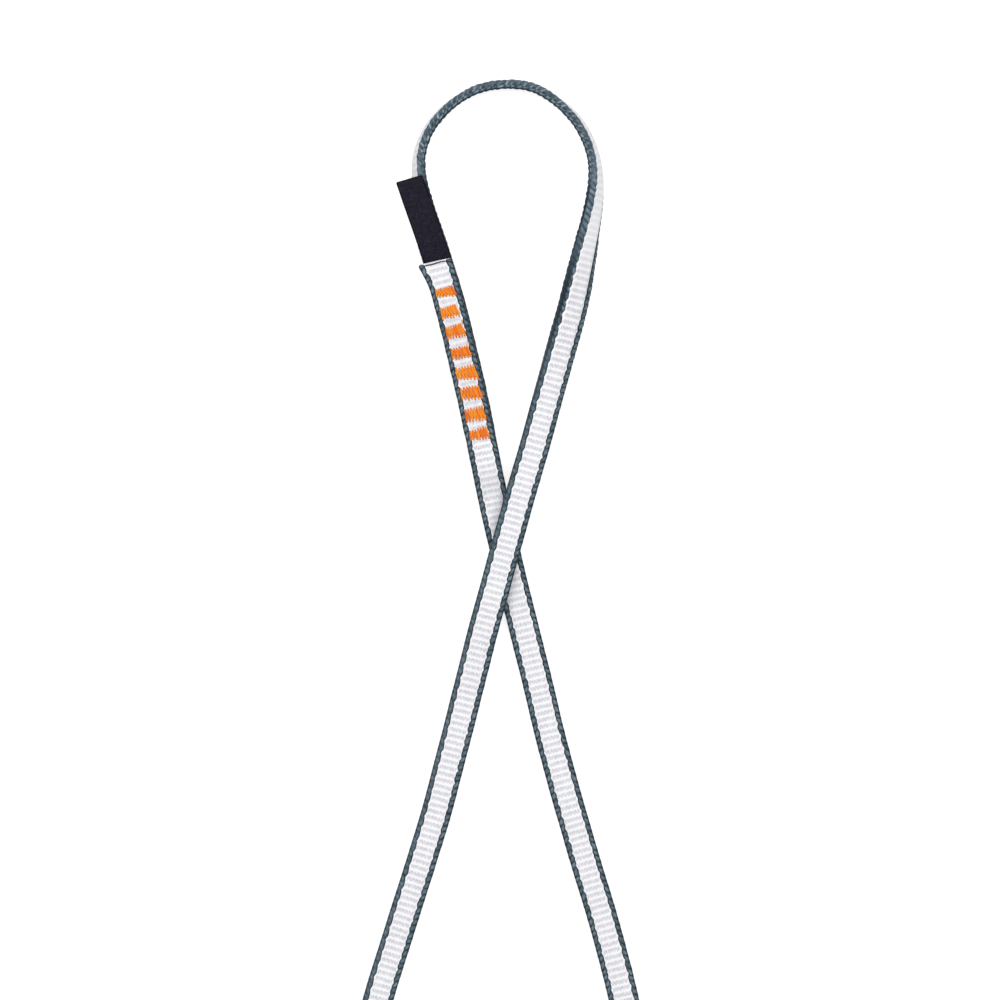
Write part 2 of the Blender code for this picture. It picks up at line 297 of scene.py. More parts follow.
def layerShift(distances):
    # the two layers of the joint aren't quite over each other, and the cut end strays back
    upper = smooth((distances - loopLength) / tape["ramp"])
    lower = smooth((tape["overlap"] - distances) / tape["ramp"]) * smooth(distances / tape["ramp"])
    astray = smooth((distances - clothEnd) / tape["ramp"] + 1)
    shift = handMade["lowerShift"] * lower - handMade["upperShift"] * upper
    return shift + handMade["endShift"] * astray


def flared(distances, xs):
    # the left side of the cut end spreads
    flare = smooth((distances - clothEnd + handMade["flareLength"]) / handMade["flareLength"])
    return -handMade["flare"] * flare[:, None] * np.clip(0.5 - xs / tape["width"], 0, 1)


def onEdge(distances):
    # 1 where the tape stands on edge round the top arc
    lean = np.degrees(leanAt(distances))
    return between(lean, *handMade["onEdge"]) * (lean > 0) * (distances < crossingAt)


def cupped(distances, xs):
    # on both sides of the top arc the lower edge curls in under the white field
    onLeft = nearRows(distances, *handMade["leftOfArc"])
    onRight = nearRows(distances, *handMade["rightOfArc"])
    onTop = onEdge(distances) * (1 - onLeft) * (1 - onRight)
    below = np.clip(crestAt - xs, 0, None)
    bent = -handMade["topSag"] * onTop[:, None]
    for share, spread in zip((onLeft, onTop, onRight), handMade["spreads"]):
        bent = bent + math.tan(math.radians(spread)) * share[:, None] * below
    for share, cup, start in zip((onLeft, onRight), handMade["cups"], handMade["cupsFrom"]):
        past = np.clip(-xs - start, 0, None)
        bent = bent - math.tan(math.radians(cup)) * (share * onEdge(distances))[:, None] * past
    return bent


def moved(middle, *moves):
    # the points of each ring, moved from its middle by each amount along its own direction
    points = middle[:, None]
    for amounts, way in moves:
        points = points + amounts[..., None] * way[:, None]
    return points


def layOut(distances, xs, ys):
    # section points (across, outward) of each ring, laid along the tape
    middle, direction, across, outward = tapeFrames(distances, stacked(distances))
    pull = pulledIn(distances)[:, None]
    stray = handMade["waver"] * waver(distances, handMade["waverPitch"], 0.7)
    sideways = xs * (1 - handMade["pullIn"] * pull) + (layerShift(distances) + stray)[:, None]
    sideways = sideways + flared(distances, xs)
    upwards = ys * (1 - handMade["thinner"] * pull) + cupped(distances, xs)
    upwards = upwards - handMade["press"] * pull * np.sign(stacked(distances))[:, None]
    nearEnd = smooth((distances - clothEnd) / handMade["skewLength"] + 1)[:, None]
    forwards = -handMade["endSkew"] * nearEnd * sideways
    points = moved(middle, (sideways, across), (upwards, outward), (forwards, direction))
    points[..., 2] = np.maximum(points[..., 2], 0.0)  # pressed flat where it rests
    return points


def meshFromRings(name, points, uvAcross, uvAlong, finish):
    # closed skin over rings of points, with a UV map in millimetres
    rings, sides = points.shape[:2]
    mesh = bpy.data.meshes.new(name)
    corners = points.reshape(-1, 3)
    i, k = np.meshgrid(np.arange(rings - 1), np.arange(sides), indexing="ij")
    after = (k + 1) % sides
    here, beyond = i * sides, (i + 1) * sides
    quads = np.stack([here + k, beyond + k, beyond + after, here + after], axis=2).reshape(-1, 4)
    faces = quads.tolist()
    faces.append(list(range(sides)))
    faces.append(list(reversed(range((rings - 1) * sides, rings * sides))))
    mesh.from_pydata(corners.tolist(), [], faces)
    mesh.polygons.foreach_set("use_smooth", [True] * len(quads) + [False, False])
    layer = mesh.uv_layers.new(name="tapeUv")
    u = np.stack([uvAcross[k], uvAcross[k], uvAcross[k + 1], uvAcross[k + 1]], axis=2)
    v = np.stack([uvAlong[i], uvAlong[i + 1], uvAlong[i + 1], uvAlong[i]], axis=2)
    coords = np.stack([u.reshape(-1), v.reshape(-1)], axis=1)
    ends = np.zeros((2 * sides, 2))
    ends[:sides, 1] = uvAlong[0]
    ends[sides:, 1] = uvAlong[-1]
    layer.data.foreach_set("uv", np.concatenate([coords, ends]).reshape(-1))
    mesh.materials.append(finish)
    mesh.update()
    made = bpy.data.objects.new(name, mesh)
    bpy.context.scene.collection.objects.link(made)
    return made


# Materials

weave = {
    "ribLength": 2.18,  # mm
    "floats": (0.58, 0.09),  # mm across, and the stagger
    "ribHeight": 0.00006,
    "ringStep": 0.00032,
    "fieldHalf": 0.00122,
    "sewnFrom": ((loopLength + 0.0080) / mm, (loopLength + 0.0113) / mm),
    "sewnTo": ((tapeLength - 0.0085) / mm, (tapeLength - 0.0102) / mm),
    "border": (2.725, 2.975),  # mm from the middle to where the ribs end
    "ribDim": (0.093, 0.316),  # share of a row from its middle
    "dimming": (0.60, 0.12),  # of the ribs, and all over
    "sewnDim": 0.36,
    "grooveDim": 0.54,
    "onEdgeFade": 0.65,
    "white": (0.89, 0.89, 0.91, 1),
    # the plain margin by each edge has no ribs and a brighter white, a painted highlight on its raised
    # lip
    "plainWhite": (0.93, 0.93, 0.945, 1),
    "ribShade": (0.40, 0.40, 0.45, 1),
    "worn": (0.79, 0.785, 0.80, 1),
}


def newMaterial(name):
    made = bpy.data.materials.new(name)
    made.use_nodes = True
    return made, made.node_tree


def join(tree, start, end):
    tree.links.new(start, end)


def feed(tree, socket, value):
    # a number or a colour is set, another node's output is linked
    if isinstance(value, (int, float, tuple)):
        socket.default_value = value
    else:
        join(tree, value, socket)


def calc(tree, operation, first, second=None, third=None, clamp=False):
    node = tree.nodes.new("ShaderNodeMath")
    node.operation = operation
    node.use_clamp = clamp
    for socket, value in zip(node.inputs, (first, second, third)):
        if value is not None:
            feed(tree, socket, value)
    return node.outputs[0]


def scaled(tree, value, slope, offset, clamp=False):
    return calc(tree, "MULTIPLY_ADD", value, slope, offset, clamp)


def product(tree, first, *others):
    for other in others:
        first = calc(tree, "MULTIPLY", first, other)
    return first


def largest(tree, first, *others):
    for other in others:
        first = calc(tree, "MAXIMUM", first, other)
    return first


def apart(tree, first, second):
    return calc(tree, "ABSOLUTE", calc(tree, "SUBTRACT", first, second))


def ramp(tree, value, limits):
    # 0 up to the first limit, 1 from the second one on
    none, whole = limits
    slope = 1 / (whole - none)
    return scaled(tree, value, slope, -none * slope, clamp=True)


def mixColour(tree, share, first, second):
    node = tree.nodes.new("ShaderNodeMix")
    node.data_type = "RGBA"
    for socket, value in ((node.inputs[0], share), (node.inputs[6], first), (node.inputs[7], second)):
        feed(tree, socket, value)
    return node.outputs[2]


def addGroup(name, numbers, outputs):
    group = bpy.data.node_groups.new(name, "ShaderNodeTree")
    for label, value in numbers:
        socket = group.interface.new_socket(name=label, in_out="INPUT", socket_type="NodeSocketFloat")
        socket.default_value = value
    for label in outputs:
        group.interface.new_socket(name=label, in_out="OUTPUT", socket_type="NodeSocketFloat")
    start = group.nodes.new("NodeGroupInput")
    end = group.nodes.new("NodeGroupOutput")
    return group, start.outputs, end.inputs


def halfWave(tree, share):
    return calc(tree, "SINE", calc(tree, "MULTIPLY", share, math.pi))


def chanceAt(tree, dimensions, socket, value):
    # one random number for each whole value
    node = tree.nodes.new("ShaderNodeTexWhiteNoise")
    node.noise_dimensions = dimensions
    join(tree, value, node.inputs[socket])
    return node.outputs["Value"]


def buildWovenRows():
    # rows of short floats, each float a little ahead of the next, as on a ribbed tape
    numbers = [("Across", 0), ("Along", 0), ("Row Length", 1), ("Float Width", 1), ("Stagger", 0.2)]
    group, given, out = addGroup("wovenRows", numbers, ["Height", "Groove", "Tone", "Share"])
    column = calc(group, "DIVIDE", given["Across"], given["Float Width"])
    columnIndex = calc(group, "FLOOR", column)
    columnShare = calc(group, "FRACT", column)
    odd = calc(group, "PINGPONG", columnIndex, 1.0)
    row = calc(group, "DIVIDE", given["Along"], given["Row Length"])
    row = scaled(group, odd, given["Stagger"], row)
    rowIndex = calc(group, "FLOOR", row)
    rowShare = calc(group, "FRACT", row)
    join(group, rowShare, out["Share"])
    cell = group.nodes.new("ShaderNodeCombineXYZ")
    join(group, columnIndex, cell.inputs[0])
    join(group, rowIndex, cell.inputs[1])
    join(group, chanceAt(group, "2D", "Vector", cell.outputs[0]), out["Tone"])
    arch = calc(group, "POWER", halfWave(group, rowShare), 0.55)
    roundness = calc(group, "POWER", halfWave(group, columnShare), 0.6)
    height = product(group, arch, scaled(group, roundness, 0.45, 0.55))
    join(group, height, out["Height"])
    groove = calc(group, "SUBTRACT", 1.0, calc(group, "MULTIPLY", arch, roundness), clamp=True)
    join(group, groove, out["Groove"])
    return group


def buildTwistedPly():
    # slanted bundles of yarn that wind round an edge, with fine plies on each
    numbers = [("Around", 0), ("Along", 0), ("Pitch", 2.0), ("Starts", 3.0), ("Plies", 5.0)]
    group, given, out = addGroup("twistedPly", numbers, ["Height", "Groove", "Tone", "Fine"])
    turn = calc(group, "DIVIDE", given["Along"], given["Pitch"])
    turn = scaled(group, given["Around"], given["Starts"], turn)
    share = calc(group, "FRACT", turn)
    arch = halfWave(group, share)
    height = calc(group, "POWER", arch, 0.7)
    join(group, height, out["Height"])
    groove = calc(group, "SUBTRACT", 1.0, calc(group, "POWER", arch, 0.5), clamp=True)
    join(group, groove, out["Groove"])
    join(group, chanceAt(group, "1D", "W", calc(group, "FLOOR", turn)), out["Tone"])
    fine = halfWave(group, product(group, share, given["Plies"]))
    join(group, calc(group, "ABSOLUTE", fine), out["Fine"])
    return group


def placeGroup(tree, group, *values):
    # the values come in the order of the group's numbers
    node = tree.nodes.new("ShaderNodeGroup")
    node.node_tree = group
    for socket, value in zip(node.inputs, values):
        feed(tree, socket, value)
    return node.outputs


def uvOf(tree, name):
    node = tree.nodes.new("ShaderNodeUVMap")
    node.uv_map = name
    split = tree.nodes.new("ShaderNodeSeparateXYZ")
    join(tree, node.outputs[0], split.inputs[0])
    return split.outputs[0], split.outputs[1]


def marked(tree, name):
    # one of the masks that storeMask keeps on a piece
    node = tree.nodes.new("ShaderNodeAttribute")
    node.attribute_name = name
    return node.outputs["Fac"]


def speckles(tree, scale, limits):
    # uneven tone on object coordinates
    place = tree.nodes.new("ShaderNodeTexCoord")
    noise = tree.nodes.new("ShaderNodeTexNoise")
    noise.inputs["Scale"].default_value = scale
    noise.inputs["Detail"].default_value = 3.0
    join(tree, place.outputs["Object"], noise.inputs["Vector"])
    return ramp(tree, noise.outputs["Fac"], limits)


def dress(tree, base, groove, rough, specular, height, depth, strength):
    # colour, roughness and bump on the shader
    shader = tree.nodes["Principled BSDF"]
    join(tree, base, shader.inputs["Base Color"])
    join(tree, scaled(tree, groove, *rough), shader.inputs["Roughness"])
    shader.inputs["Specular IOR Level"].default_value = specular
    bump = tree.nodes.new("ShaderNodeBump")
    bump.inputs["Distance"].default_value = depth
    bump.inputs["Strength"].default_value = strength
    join(tree, height, bump.inputs["Height"])
    join(tree, bump.outputs[0], shader.inputs["Normal"])


def whiteYarn(rows):
    made, tree = newMaterial("whiteYarn")
    across, along = uvOf(tree, "tapeUv")
    cloth = placeGroup(tree, rows, across, along, weave["ribLength"], *weave["floats"])
    border = ramp(tree, calc(tree, "ABSOLUTE", across), weave["border"])
    inside = calc(tree, "SUBTRACT", 1.0, border)
    dim = ramp(tree, apart(tree, cloth["Share"], 0.5), weave["ribDim"])
    dim = scaled(tree, dim, *weave["dimming"])
    # the tacks pull the ribs flat
    sewn = product(tree, ramp(tree, along, weave["sewnFrom"]), ramp(tree, along, weave["sewnTo"]))
    dim = product(tree, dim, scaled(tree, sewn, -0.5, 1.0))
    dim = scaled(tree, sewn, weave["sewnDim"], dim)
    groove = product(tree, cloth["Groove"], weave["grooveDim"])
    shade = product(tree, largest(tree, dim, groove), inside)
    uneven = scaled(tree, cloth["Tone"], 0.4, 0.64)
    shade = calc(tree, "MULTIPLY", shade, uneven, clamp=True)
    onItsEdge = calc(tree, "ADD", marked(tree, "standing"), marked(tree, "turning"))
    shade = product(tree, shade, scaled(tree, onItsEdge, -weave["onEdgeFade"], 1.0))
    # the plain margin by each edge has no ribs and a brighter white, a painted highlight on its raised
    # lip
    base = mixColour(tree, border, weave["white"], weave["plainWhite"])
    base = mixColour(tree, shade, base, weave["ribShade"])
    worn = speckles(tree, 90.0, (0.28, 2.28))
    base = mixColour(tree, product(tree, worn, 0.35), base, weave["worn"])
    height = product(tree, cloth["Height"], inside)
    dress(tree, base, cloth["Groove"], (0.3, 0.42), 0.5, height, 0.00010, 0.6)
    tree.nodes["Principled BSDF"].inputs["Sheen Weight"].default_value = 0.15
    return made


edge = {
    "pitch": 2.18,  # mm from one bundle of yarn to the next
    "starts": -2.5,
    "plies": 2.0,
    "ringStep": 0.00027,
    "corners": 16,
    "squarer": 0.66,
    "inner": 0.00122,
    "jointInner": {1: 0.00018, -1: -0.00016},  # the upper layer's edges in the joint
    "outer": 0.00071,
    "underLabel": {1: 0.0, -1: 0.4},  # less of edge B shows under the label
    "half": 0.00144,
    "swell": 0.20,
    "plump": 0.30,
    "scallop": {1: 0.00034, -1: 0.00036},
    "smallScallop": 0.00006,
    "neck": {1: 0.00022, -1: -0.00012},  # the strand that lies over shows more of edge A
    "overFrom": (18, 0.02),  # the row from which a strand lies over, and the rise there
    "neckTo": (0.03, 0.03),  # past the crossing, and the fall there
    "plainTo": (0.25, 0.05),
    "labelRows": (3, 0.004, 7, 0.01),
    "plainLess": 0.6,
    "meanBundle": 0.70,
    "innerSwell": 0.25,
    "tip": 0.0006,
    "skew": 0.3,
    "sizeSpread": 0.5,
    "jitter": 0.34,  # mm that the bundles stray along the edge
    "jitterPitch": 0.0083,
    "slate": (0.062, 0.100, 0.124, 1),
    "highlight": (0.38, 0.50, 0.58, 1),
    "shadow": (0.006, 0.018, 0.028, 1),
    "violet": (0.13, 0.13, 0.20, 1),
}
# Zones of an edge, as shares of the way round from its crest: none of it, all of it
zone = {
    "face": (0.0727, 0.0273),  # from the middle of a face
    "innerHalf": (0.05, 0.0115),  # from the middle of the inner half
    "outerHalf": (-0.0233, 0.01),
    "turned": (-0.0385, 0.0),
    "rim": (0.0636, 0.1091),
    "crest": (0.085, 0.035),
    # the next three are painted shade: the crevice by the white field, and the inner side of the edge
    # where it stands and where it turns
    "inner": (0.3, 0.3417),
    "innerShadeLine": (-0.09, -0.1233),
    "turnedShadeLine": (-0.0154, -0.0538),
}
# How strongly the bundles are lit and darkened, with the painted shade along the edge's borders
yarnLight = {
    "even": 0.42,
    "evenShare": 0.7,
    "flat": 0.32,
    "standing": 0.66,
    "turning": 0.09,
    "turned": 1.3,
}
yarnDark = {
    "seam": 0.68,
    "innerSeam": 0.9,
    "turnedSeam": 0.42,
    "outline": 0.93,
    "innerShadeLine": 0.9,
    "turnedShadeLine": 0.92,
}


def slateYarn(ply):
    # light bundles with dark borders on the faces, dark ones with light seams round the crest
    made, tree = newMaterial("slateYarn")
    around, along = uvOf(tree, "tapeUv")
    yarn = placeGroup(tree, ply, around, along, edge["pitch"], edge["starts"], edge["plies"])
    standing = marked(tree, "standing")
    turning = marked(tree, "turning")
    flat = calc(tree, "SUBTRACT", 1.0, calc(tree, "ADD", standing, turning), clamp=True)
    fromCrest = calc(tree, "ABSOLUTE", around)
    onFace = ramp(tree, apart(tree, fromCrest, 0.25), zone["face"])
    patchy = speckles(tree, 330.0, (0.30, 0.633))
    spotty = speckles(tree, 520.0, (0.324, 0.618))
    toned = scaled(tree, yarn["Tone"], 0.7, 0.3)
    bundle = product(tree, calc(tree, "POWER", yarn["Height"], 1.6), toned)
    # the bundles hardly show on edge A of the strand that lies over
    plain = product(tree, marked(tree, "plain"), yarnLight["evenShare"])
    varied = calc(tree, "SUBTRACT", 1.0, plain)
    bundle = scaled(tree, bundle, varied, product(tree, plain, yarnLight["even"]))

    # light bundles: along the middle of each face, and on the inner half of the standing edge
    innerHalf = ramp(tree, apart(tree, around, -0.055), zone["innerHalf"])
    innerHalf = product(tree, innerHalf, standing)
    # where the tape turns over, both the outer half and the face are light
    turned = product(tree, ramp(tree, around, zone["turned"]), turning)
    turned = calc(tree, "MULTIPLY", turned, yarnLight["turned"], clamp=True)
    lit = largest(tree, onFace, innerHalf, turned)
    strength = scaled(tree, standing, yarnLight["standing"], yarnLight["flat"])
    strength = scaled(tree, turning, yarnLight["turning"], strength)
    light = product(tree, bundle, lit, strength)
    # light seams between the dark bundles of the outer half
    seam = ramp(tree, yarn["Groove"], (0.192, 0.577))
    seamLight = product(tree, seam, ramp(tree, around, zone["outerHalf"]), standing, patchy)
    base = mixColour(tree, largest(tree, light, seamLight), edge["slate"], edge["highlight"])
    rim = product(tree, ramp(tree, around, zone["rim"]), standing)
    tinted = speckles(tree, 260.0, (0.375, 0.792))
    tinted = product(tree, tinted, scaled(tree, rim, 0.6, 0.2))
    base = mixColour(tree, tinted, base, edge["violet"])

    # dark seams and spots, and painted shade along the borders: the outer margin of the flat strands,
    # the crevice by the white field, and the inner side where the edge stands or turns
    spots = ramp(tree, yarn["Height"], (0.5, 1.056))
    # painted shade along the outer margin of the flat strands, wider at the seams
    outline = scaled(tree, seam, 1.6, 4.9)
    outline = scaled(tree, fromCrest, -24.0, outline, clamp=True)
    outline = product(tree, outline, flat, scaled(tree, plain, -0.5, 1.0))
    # painted shade in the crevice by the white field, and on the inner side where the edge stands or
    # turns
    inner = ramp(tree, fromCrest, zone["inner"])
    innerShadeLine = product(tree, ramp(tree, around, zone["innerShadeLine"]), standing)
    turnedShadeLine = product(tree, ramp(tree, around, zone["turnedShadeLine"]), turning)
    dark = largest(
        tree,
        product(tree, innerShadeLine, yarnDark["innerShadeLine"]),
        product(tree, seam, onFace, yarnDark["seam"], varied),
        product(tree, seam, innerHalf, yarnDark["innerSeam"]),
        product(tree, spots, ramp(tree, fromCrest, zone["crest"]), spotty, standing),
        product(tree, outline, yarnDark["outline"]),
        product(tree, inner, yarnDark["outline"]),
        product(tree, seam, turned, yarnDark["turnedSeam"]),
        product(tree, turnedShadeLine, yarnDark["turnedShadeLine"]),
    )
    base = mixColour(tree, dark, base, edge["shadow"])
    mottle = speckles(tree, 620.0, (0.404, 0.788))
    mottle = product(tree, mottle, scaled(tree, flat, 0.2, 0.70))
    base = mixColour(tree, mottle, base, edge["shadow"])
    height = scaled(tree, yarn["Fine"], 0.3, yarn["Height"])
    dress(tree, base, yarn["Groove"], (0.25, 0.5), 0.2, height, 0.00016, 0.9)
    return made


def orangeThread(ply):
    made, tree = newMaterial("orangeThread")
    around, along = uvOf(tree, "UVMap")
    yarn = placeGroup(tree, ply, around, along, *tack["ply"])
    # the stitches beneath are painted deeper, as painted shade under the top ones; each stitch also has
    # a random tone
    base = mixColour(tree, marked(tree, "threadShadeAndTone"), tack["bright"], tack["deep"])
    base = mixColour(tree, product(tree, yarn["Groove"], 0.66), base, tack["shadow"])
    mottle = speckles(tree, 700.0, (0.333, 1.167))
    base = mixColour(tree, product(tree, mottle, 0.3), base, tack["deep"])
    dress(tree, base, yarn["Groove"], (0.25, 0.38), 0.25, yarn["Height"], 0.00005, 0.7)
    return made


def labelCloth(rows):
    made, tree = newMaterial("labelCloth")
    across, along = uvOf(tree, "tapeUv")
    cloth = placeGroup(tree, rows, across, along, *label["weave"])
    light = product(tree, cloth["Height"], scaled(tree, cloth["Tone"], 0.7, 0.3))
    base = mixColour(tree, light, label["dark"], label["light"])
    # painted shade: the flap darkens to near black along its sides and its free end
    rim = ramp(tree, calc(tree, "ABSOLUTE", across), label["shadedSides"])
    rim = largest(tree, rim, ramp(tree, along, label["shadedEnd"]))
    base = mixColour(tree, product(tree, rim, 0.8), base, label["rim"])
    dusty = speckles(tree, 800.0, (0.52, 0.72))
    base = mixColour(tree, product(tree, dusty, 0.6), base, label["light"])
    # the white of the tape shows through beyond a bowed line at the root
    bowed = scaled(tree, product(tree, across, across), 0.012, along)
    bowed = scaled(tree, across, label["rootSkew"], bowed)
    bare = product(tree, ramp(tree, bowed, label["rootLine"]), ramp(tree, across, label["rootSide"]))
    base = mixColour(tree, bare, base, label["root"])
    dress(tree, base, cloth["Groove"], (0.12, 0.78), 0.1, cloth["Height"], 0.00006, 0.8)
    return made


tack = {
    "ahead": 0.00092,  # nearer to the cut end than the sewn length gives
    "trims": (0.00020, 0.00095, 0.00065, 0.00035, -0.00020, -0.00020, 0.0, 0.00030),
    "heights": (0.90, 1.26, 1.37, 1.13, 1.41, 1.39, 1.35, 1.06),
    "moves": (0.0, 0.00045, 0.00077, 0.00024, 0.0, 0.0001, -0.0002, 0.0001),
    "shear": (0.00025, 0.00110),  # how far the stitches lean at each end
    "slants": (9.7, -0.3, -0.3, 2.8, 9.2, 8.0, 3.1, 2),  # degrees that each tack turns from square
    "threads": 13,
    "pastField": 0.0003,
    "toRight": 0.00018,
    "fan": (0.0006, 0.0010),  # the stitches grow longer towards the right
    "lowFan": (0.0, 0.0003),
    "shorter": (0.00008, 0.00022),
    "stray": 0.00006,
    "piled": (0.00005, 0.00014, -0.00012),
    # how deep the stitches beneath and those on top are painted: the ones beneath deeper, as painted
    # shade, each a random tone within its range
    "shadeAndTones": ((0.6, 1.0), (0.05, 0.9)),
    "radius": 0.00026,
    "underRadius": 0.00028,
    "underShare": 0.66,  # the stitches beneath are shorter
    "uneven": 0.00022,
    "jumps": (1, 2, 5),
    "jumpFrom": (0.0006, 0.0),  # from the field's side and the tack's end
    "jumpTo": (0.0002, 0.0014),
    "jumpRadius": 0.00011,
    "sink": 0.0006,
    "ply": (0.09, 2.0, 2.0),  # mm from twist to twist, starts and plies
    "bright": (0.95, 0.37, 0.022, 1),
    "deep": (0.74, 0.118, 0.001, 1),
    "shadow": (0.42, 0.05, 0.002, 1),
}
label = {
    "length": 0.0286,
    "width": 0.0095,
    "fold": 0.0015,
    "rise": 0.0062,
    "turn": 2.4,
    "shift": 0.0005,  # to the right of the tape's middle
    "tilt": 22.0,
    "skew": 0.085,  # its free end is cut a little aslant
    "rootSkew": 0.070,
    "trim": 0.0004,
    "tailShare": 0.84,  # width between the layers
    "bowl": 0.00012,
    "wave": 0.00010,
    "rings": (34, 60),
    "columns": 13,
    "shadedSides": (4.2, 4.533),  # mm from the middle
    "shadedEnd": (28.1, 28.433),
    "rootLine": (-0.489, -0.6),
    "rootSide": (3.9, 3.65),
    "weave": (0.42, 0.24, 0.5),  # mm along a row, mm across a float, and the stagger
    "dark": (0.0020, 0.0018, 0.0040, 1),
    "light": (0.028, 0.025, 0.042, 1),
    # near black, for the painted shade along the flap's edges
    "rim": (0.0006, 0.0005, 0.0015, 1),
    "inset": 0.00012,  # less width on the right of the flap
    "root": (0.84, 0.84, 0.86, 1),
}

wovenRows = buildWovenRows()
twistedPly = buildTwistedPly()
whiteFinish = whiteYarn(wovenRows)
slateFinish = slateYarn(twistedPly)
orangeFinish = orangeThread(twistedPly)
labelFinish = labelCloth(wovenRows)
print("materials made")

# White field of the tape

field = {
    # across, and height over the field's own, in mm, from either side to the middle
    "section": ((4.55, -0.72), (3.45, -0.45), (3.10, -0.12), (2.75, 0.02), (1.70, 0.0), (0.58, 0.0)),
    "fringe": 0.0012,  # length at the cut end without ribs
    "ribbed": (0.0031, 0.0022),  # from the middle: no ribs, full ribs
    "endThickness": 0.72,
}


def buildField():
    distances = np.linspace(0.0, clothEnd, int(clothEnd / weave["ringStep"]))
    half = np.array(field["section"]) * mm
    top = np.concatenate([half, half[::-1] * (-1, 1)])
    top[:, 1] += weave["fieldHalf"]
    turns = math.pi * distances / (weave["ribLength"] * mm)
    flat = smooth((clothEnd - distances) / field["fringe"])[:, None]
    inRibs = between(np.abs(top[:, 0]), *field["ribbed"]) * flat * weave["ribHeight"]
    rise = (np.abs(np.sin(turns)) ** 0.7 * 2 - 1.2)[:, None] * inRibs
    fall = (np.abs(np.cos(turns)) ** 0.7 * 2 - 1.2)[:, None] * inRibs
    thin = field["endThickness"] + (1 - field["endThickness"]) * flat
    around = np.concatenate([top[:, 0], top[::-1, 0]])
    xs = np.tile(around, (len(distances), 1))
    ys = np.concatenate([(top[:, 1] + rise) * thin, -(top[::-1, 1] + fall[:, ::-1]) * thin], axis=1)
    uvAcross = np.append(around, around[0]) / mm
    made = meshFromRings("whiteField", layOut(distances, xs, ys), uvAcross, distances / mm, whiteFinish)
    markStanding(made, distances, len(around))
    return made


def markStanding(made, distances, sides):
    # standing where the crest of edge A faces the camera, turning where it leans away
    whole = onEdge(distances)
    upright = between(np.degrees(leanAt(distances)), *handMade["upright"]) * whole
    storeMask(made, "standing", upright, sides)
    storeMask(made, "turning", whole - upright, sides)


def storeMask(made, name, values, sides):
    stored = made.data.attributes.new(name, "FLOAT", "POINT")
    stored.data.foreach_set("value", np.repeat(values, sides))


def buildEdge(name, side):
    # a rounded edge of slanted bundles of yarn, scalloped where it meets the white field
    end = clothEnd - 0.0001
    distances = np.linspace(0.0, end, int(end / edge["ringStep"]))
    turns = (np.arange(edge["corners"]) / edge["corners"] - 0.5) * 2 * math.pi
    cos, sin = np.cos(turns), np.sin(turns)
    shapeX = np.sign(cos) * np.abs(cos) ** edge["squarer"]
    shapeY = np.sign(sin) * np.abs(sin) ** edge["squarer"]
    pitch = edge["pitch"] * mm
    strayed = distances + edge["jitter"] * mm * waver(distances, edge["jitterPitch"], 1.1 + side)
    # share of the way round the section, from the crest
    widths = shapeX * np.where(shapeX > 0, edge["outer"], edge["inner"])
    nominal = np.stack([widths, shapeY * edge["half"]], axis=1)
    steps = np.linalg.norm(np.roll(nominal, -1, axis=0) - nominal, axis=1)
    around = np.concatenate([[0.0], np.cumsum(steps)[:-1]]) / steps.sum() - 0.5
    phase = strayed[:, None] / pitch + edge["starts"] * around
    chance = np.random.default_rng(5 if side > 0 else 8)
    plump = 1 + edge["plump"] * chance.uniform(-1, 1, int(end / pitch) + 8)
    bundle = np.abs(np.sin(math.pi * phase)) ** 0.7 * plump[np.floor(phase).astype(int) + 3]
    row, rise = edge["overFrom"]
    inNeck, plain = (
        within(distances, route["marks"][row], rise, crossingAt + past, fall)
        for past, fall in (edge["neckTo"], edge["plainTo"])
    )
    plain = plain * (side > 0)
    underLabel = nearRows(distances, *edge["labelRows"])
    inJoint = smooth((distances - loopLength) / tape["ramp"])
    swell = 1 + edge["swell"] * (1 - edge["plainLess"] * plain[:, None]) * (bundle - edge["meanBundle"])
    inner = edge["inner"] + scallops(distances / pitch, side, chance)
    inner = inner + edge["jointInner"][side] * inJoint + edge["neck"][side] * inNeck
    inner = inner[:, None] * (1 + edge["innerSwell"] * (swell - 1))
    outer = edge["outer"] * (1 - edge["underLabel"][side] * underLabel)
    reach = np.where(shapeX[None, :] > 0, outer[:, None] * swell, inner)
    size = 0.5 + 0.5 * smooth((end - distances) / edge["tip"])[:, None]
    xs = edgeCentre + shapeX * reach * size
    ys = shapeY * edge["half"] * swell * size
    uvAcross = np.append(around, 0.5)
    if side < 0:
        xs, ys = -xs[:, ::-1], ys[:, ::-1]
        uvAcross = np.append(around[::-1], around[-1] - 1)
    points = layOut(distances, xs, ys)
    made = meshFromRings(name, points, uvAcross, strayed / mm, slateFinish)
    markStanding(made, distances, edge["corners"])
    storeMask(made, "plain", plain, edge["corners"])
    return made


def scallops(beads, side, chance):
    # rounded bumps two bundles long reach over the field, with narrow dips between them
    pair = beads / 2 * 2 * math.pi
    single = 2 * pair
    wide = 2 * np.abs(np.sin((pair - side * edge["skew"] * np.sin(pair)) / 2)) ** 0.8 - 1.15
    narrow = np.sin(single - side * edge["skew"] / 2 * np.sin(single))
    sizes = 1 + edge["sizeSpread"] * chance.uniform(-1, 1, int(beads[-1] / 2) + 2)
    return edge["scallop"][side] * wide * sizes[(beads / 2).astype(int)] + edge["smallScallop"] * narrow


pick = {
    "back": 0.0007,  # from the cut end
    "half": 0.0045,
    "radius": 0.00019,
    "proud": 0.00006,
    "droop": 0.0002,
    "bow": 0.00022,
    "wave": 0.00010,
    "rings": 40,
    "sides": 8,
}


